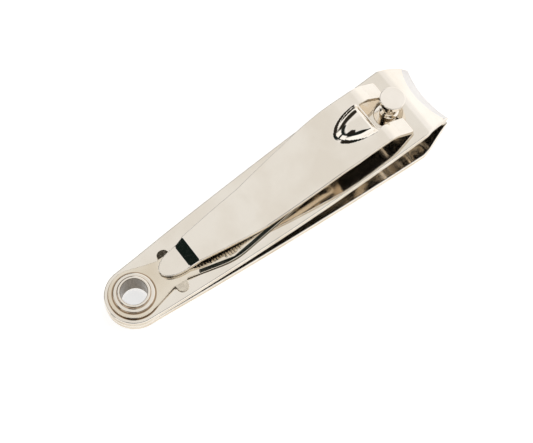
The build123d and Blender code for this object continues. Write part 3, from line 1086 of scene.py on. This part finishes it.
def lever_bottom(x, y, at):
    z, angle = lookup(lever_back, x)
    rise = bump(x, y)[0]
    return z + rise * BUMP_HOLLOW - LEVER_THICKNESS / cos(angle), -up_normal(angle)


def lever_outline():
    tip = [
        (
            STEP_REAR_X - (STEP_REAR_X - TIP_REAR_X) * sin(radians(a)),
            TIP_HALF_WIDTH * cos(radians(a)),
        )
        for a in range(0, 181, 6)
    ]
    side = arc_through(
        (STEP_FRONT_X, -STEP_HALF_WIDTH), (WAIST_X, -WAIST_HALF_WIDTH), (body_x, -BODY_HALF_WIDTH)
    )
    near = side + [
        (fork_end_x, -BODY_HALF_WIDTH),
        (fork_end_x, -SLOT_HALF_WIDTH + 0.25),
        (slot_x, -SLOT_HALF_WIDTH),
    ]
    far = [(x, -y) for x, y in reversed(near)]
    loop = tip + near + far
    first = len(tip) + len(side)
    corners = {first: 0.35, first + 1: 0.3, first + 2: 0.3}
    corners |= {len(loop) - 1 - (i - len(tip)): r for i, r in list(corners.items())}
    return refine(thin(round_corners(loop, corners)), 0.5)


def bump_base():
    """The bump's foot, drawn a hair inside it."""
    oval = [
        (
            bump_front_x - BUMP_LENGTH * 0.999 * sin(radians(a)),
            BUMP_HALF_WIDTH * 0.999 * cos(radians(a)),
        )
        for a in range(0, 181, 4)
    ]
    front = [(bump_front_x, BUMP_HALF_WIDTH * (-0.98 + 1.96 * i / 20)) for i in range(21)]
    return oval, front


lever = Skin()
lever_grid = cells(TIP_REAR_X, fork_end_x, 0.22, 5.0, 0.5) + cells(
    bump_front_x - BUMP_LENGTH - 0.2, bump_front_x + 0.1, 0.16, 3.0, 0.16
)
sheet(
    lever,
    [lever_outline()],
    (lever_grid, 0.2),
    lever_top,
    lever_bottom,
    LEVER_EDGE_ROUND,
    bump_base(),
    wall_slot=1,
)
# The lever's upright walls take the second material, which carries painted shade.
lever.build("lever_strip", "lever", "lever", [lever_metal, rough_shade_metal])


# ---- Floor, under the rivet's flange and the stud's foot ----
def rest_line():
    """The straight line that the object stands on, as (x, z) of its two contacts."""
    points = sorted({(v.co.x, v.co.z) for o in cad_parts.values() for v in o.data.vertices})
    hull = []
    for p in points:
        while len(hull) > 1:
            (ax, az), (bx, bz) = hull[-2:]
            if (bx - ax) * (p[1] - az) - (bz - az) * (p[0] - ax) > 0:
                break
            hull.pop()
        hull.append(p)
    low, high = cad_box
    middle = (low[0] + high[0]) / 2
    return next((a, b) for a, b in zip(hull, hull[1:]) if a[0] <= middle <= b[0])


FLOOR_HALF = 1.5
FLOOR_TONE = 0.62
FLOOR_GLOW = 0.68


def floor():
    (ax, az), (bx, bz) = rest_line()
    mesh = bpy.data.meshes.new("floor")
    corners = [(FLOOR_HALF * x, FLOOR_HALF * y, 0) for x, y in ((-1, -1), (1, -1), (1, 1), (-1, 1))]
    mesh.from_pydata(corners, [], [(0, 1, 2, 3)])
    plane = bpy.data.objects.new("floor", mesh)
    bpy.context.scene.collection.objects.link(plane)
    plane.location = ((ax + bx) / 2, 0, (az + bz) / 2)
    plane.rotation_euler = (0, -atan2(bz - az, bx - ax), 0)
    n = Nodes("pale_floor")
    n.shader.inputs["Roughness"].default_value = 0.9
    n.shader.inputs["Specular IOR Level"].default_value = 0.1
    n.shader.inputs["Base Color"].default_value = (FLOOR_TONE, FLOOR_TONE, FLOOR_TONE, 1)
    n.shader.inputs["Emission Color"].default_value = (1, 1, 1, 1)
    n.shader.inputs["Emission Strength"].default_value = FLOOR_GLOW
    mesh.materials.append(n.material)


floor()


# ---- Light: a bright tent, open and dark behind and beside the object ----
SKY = 1.2
# Each layer: azimuth and half width, lowest and highest elevation, softness, in degrees, and tone.
LAYERS = (
    (0, 180, 40, 130, 14, (1.03, 1.03, 1.04)),
    (0, 180, 62, 130, 5, (0.89, 0.885, 0.87)),
    (180, 62, 37, 54, 3, (0.006, 0.012, 0.010)),
    (172, 7, 0, 40, 3, (0.006, 0.012, 0.010)),
    (-112, 36, 27, 58, 4, (0.010, 0.014, 0.012)),
    (-70, 20, 27, 44, 4, (0.012, 0.014, 0.012)),
    (-145, 26, 50, 76, 4, (0.020, 0.017, 0.014)),
    (95, 36, 6, 44, 6, (0.03, 0.026, 0.02)),
)


def room():
    """The world: a bright sky, with each layer laid over those before it."""
    world = bpy.data.worlds.new("room")
    bpy.context.scene.world = world
    world.use_nodes = True
    tree = world.node_tree
    back = tree.nodes["Background"]
    place = tree.nodes.new("ShaderNodeTexCoord")

    def node(kind, operation, *inputs):
        made = tree.nodes.new(kind)
        made.operation = operation
        for i, value in enumerate(inputs):
            if isinstance(value, bpy.types.NodeSocket):
                tree.links.new(value, made.inputs[i])
            else:
                made.inputs[i].default_value = value
        return made

    def ease(value, start, end):
        span = tree.nodes.new("ShaderNodeMapRange")
        span.interpolation_type = "SMOOTHSTEP"
        span.inputs["From Min"].default_value = start
        span.inputs["From Max"].default_value = end
        tree.links.new(value, span.inputs["Value"])
        return span.outputs["Result"]

    level = node("ShaderNodeVectorMath", "MULTIPLY", place.outputs["Generated"], (1, 1, 0)).outputs[0]
    level = node("ShaderNodeVectorMath", "NORMALIZE", level).outputs[0]
    height = node("ShaderNodeVectorMath", "DOT_PRODUCT", place.outputs["Generated"], (0, 0, 1))
    height = height.outputs["Value"]
    colour = None
    for azimuth, half_width, low, high, soft, tone in LAYERS:
        aim = (cos(radians(azimuth)), sin(radians(azimuth)), 0)
        side = node("ShaderNodeVectorMath", "DOT_PRODUCT", level, aim).outputs["Value"]
        cover = ease(height, sin(radians(low - soft)), sin(radians(low + soft)))
        if half_width < 180:
            across = ease(side, cos(radians(half_width + soft)), cos(radians(half_width - soft)))
            cover = node("ShaderNodeMath", "MULTIPLY", across, cover).outputs[0]
        if high < 90:
            below = ease(height, sin(radians(high + soft)), sin(radians(high - soft)))
            cover = node("ShaderNodeMath", "MULTIPLY", cover, below).outputs[0]
        mix = tree.nodes.new("ShaderNodeMix")
        mix.data_type = "RGBA"
        tree.links.new(cover, mix.inputs[0])
        if colour:
            tree.links.new(colour, mix.inputs[6])
        else:
            mix.inputs[6].default_value = (SKY, SKY, SKY, 1)
        mix.inputs[7].default_value = (*tone, 1)
        colour = mix.outputs[2]
    tree.links.new(colour, back.inputs["Color"])
    back.inputs["Strength"].default_value = 1.0


room()

# ---- Camera ----
AZIMUTH = 36.589
ELEVATION = 68.207
FOCAL_PIXELS = 2001.8
IMAGE_WIDTH = 533
DISTANCE = 300.0
TARGET = Vector((22.52, -2.508, 2.0))

camera_data = bpy.data.cameras.new("camera")
camera = bpy.data.objects.new("camera", camera_data)
bpy.context.scene.collection.objects.link(camera)
a, e = radians(AZIMUTH), radians(ELEVATION)
back = Vector((-sin(a) * cos(e), -cos(a) * cos(e), sin(e)))
right = Vector((cos(a), -sin(a), 0))
up = back.cross(right)
turn = Matrix((right, up, back)).transposed().to_4x4()
camera.matrix_world = Matrix.Translation((TARGET + back * DISTANCE) * MM) @ turn
camera_data.sensor_width = 36
camera_data.lens = FOCAL_PIXELS * camera_data.sensor_width / IMAGE_WIDTH
camera_data.clip_start = 0.01
bpy.context.scene.camera = camera
bpy.context.scene.view_settings.view_transform = "Standard"
